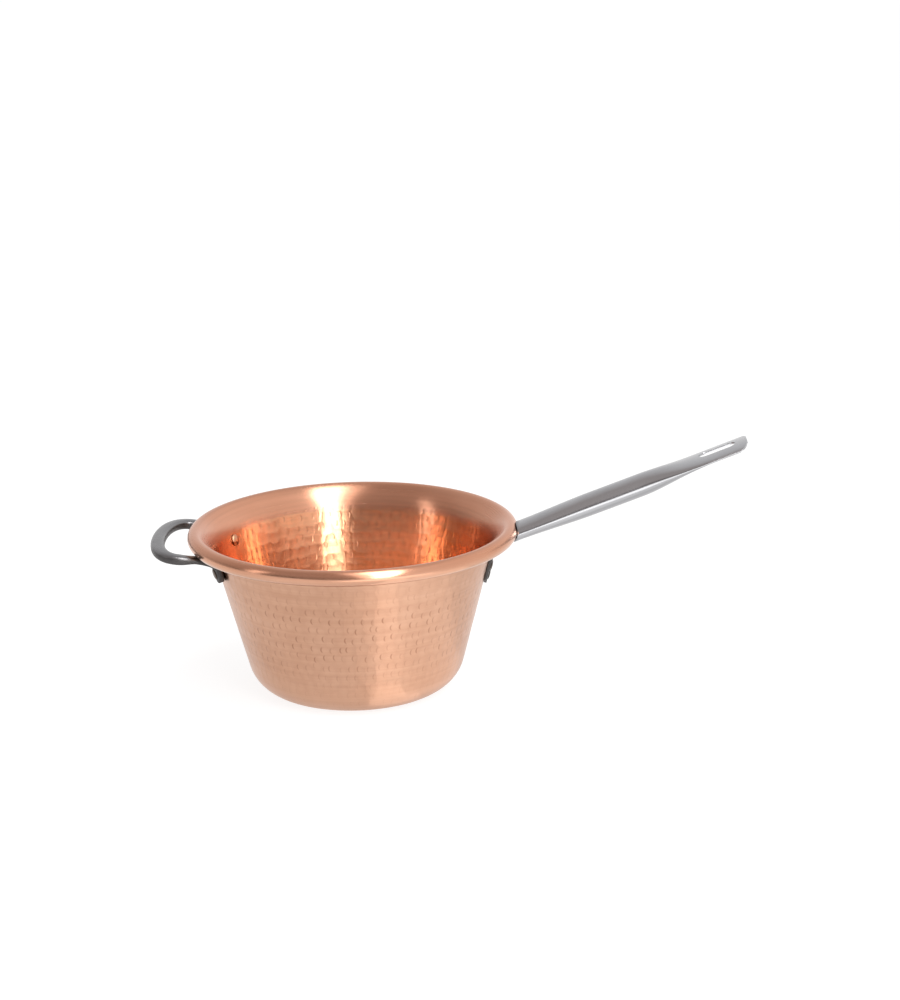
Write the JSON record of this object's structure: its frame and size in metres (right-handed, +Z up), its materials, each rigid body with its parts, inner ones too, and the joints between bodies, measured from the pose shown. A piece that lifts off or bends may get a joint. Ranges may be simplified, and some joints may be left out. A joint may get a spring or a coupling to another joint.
{
  "type": "polenta pot",
  "caption": "Round hammered copper pot with slanted wall and rolled rim, a long hollow steel handle with a hanging slot, and a steel loop handle opposite.",
  "frame": {"origin": "centre of the flat base, on the surface that the pot stands on", "axes": "+X along the long handle, seen from above; +Z up along the pot's axis; the loop handle is at -X"},
  "size_m": [0.4685, 0.26, 0.1968],
  "materials": {
    "copper": "hammered and polished copper",
    "rivet": "polished copper",
    "steel": "polished steel",
    "wire": "plain drawn wire"
  },
  "bodies": {
    "root": {"pot_body": "copper", "rim_wire": "wire", "long_handle": "steel", "loop_handle": "steel", "handle_rivet_left": "rivet", "handle_rivet_right": "rivet", "handle_rivet_lower": "rivet", "loop_rivet_left": "rivet", "loop_rivet_right": "rivet"}
  },
  "joints": []
}
